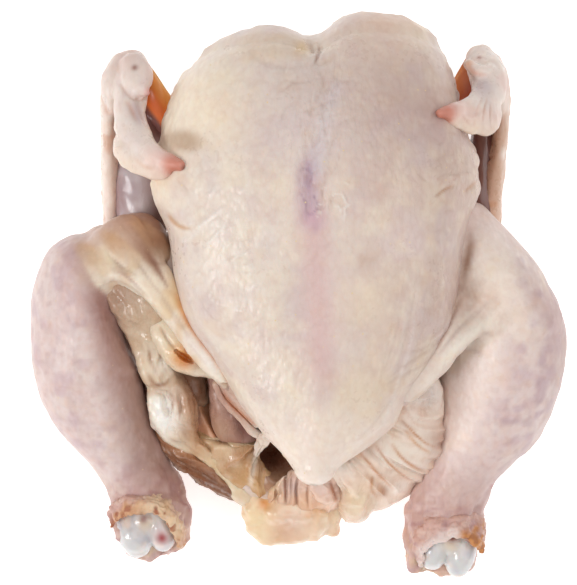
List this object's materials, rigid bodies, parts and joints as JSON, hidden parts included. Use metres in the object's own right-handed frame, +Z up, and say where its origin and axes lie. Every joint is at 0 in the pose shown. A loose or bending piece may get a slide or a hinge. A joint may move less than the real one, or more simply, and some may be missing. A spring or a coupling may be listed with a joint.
{
  "type": "whole raw chicken",
  "caption": "Whole raw plucked chicken lying on its back, with folded wings, spread legs, cartilage at the cut ankles and an open hollow at the tail.",
  "frame": {"origin": "on the surface that the bird rests on, under the middle of its back", "axes": "+Z up, from the back to the breast; +Y from the tail to the neck; +X to the right of the view from above with the neck at the top, which is the bird's own left. Left and right in the names are those of that view"},
  "size_m": [0.2295, 0.2411, 0.1046],
  "materials": {
    "skin": "moist, half gloss",
    "cartilage": "wet gloss"
  },
  "bodies": {
    "root": {"carcass": "skin", "leg_bone_left": "cartilage", "leg_bone_right": "cartilage"}
  },
  "joints": []
}
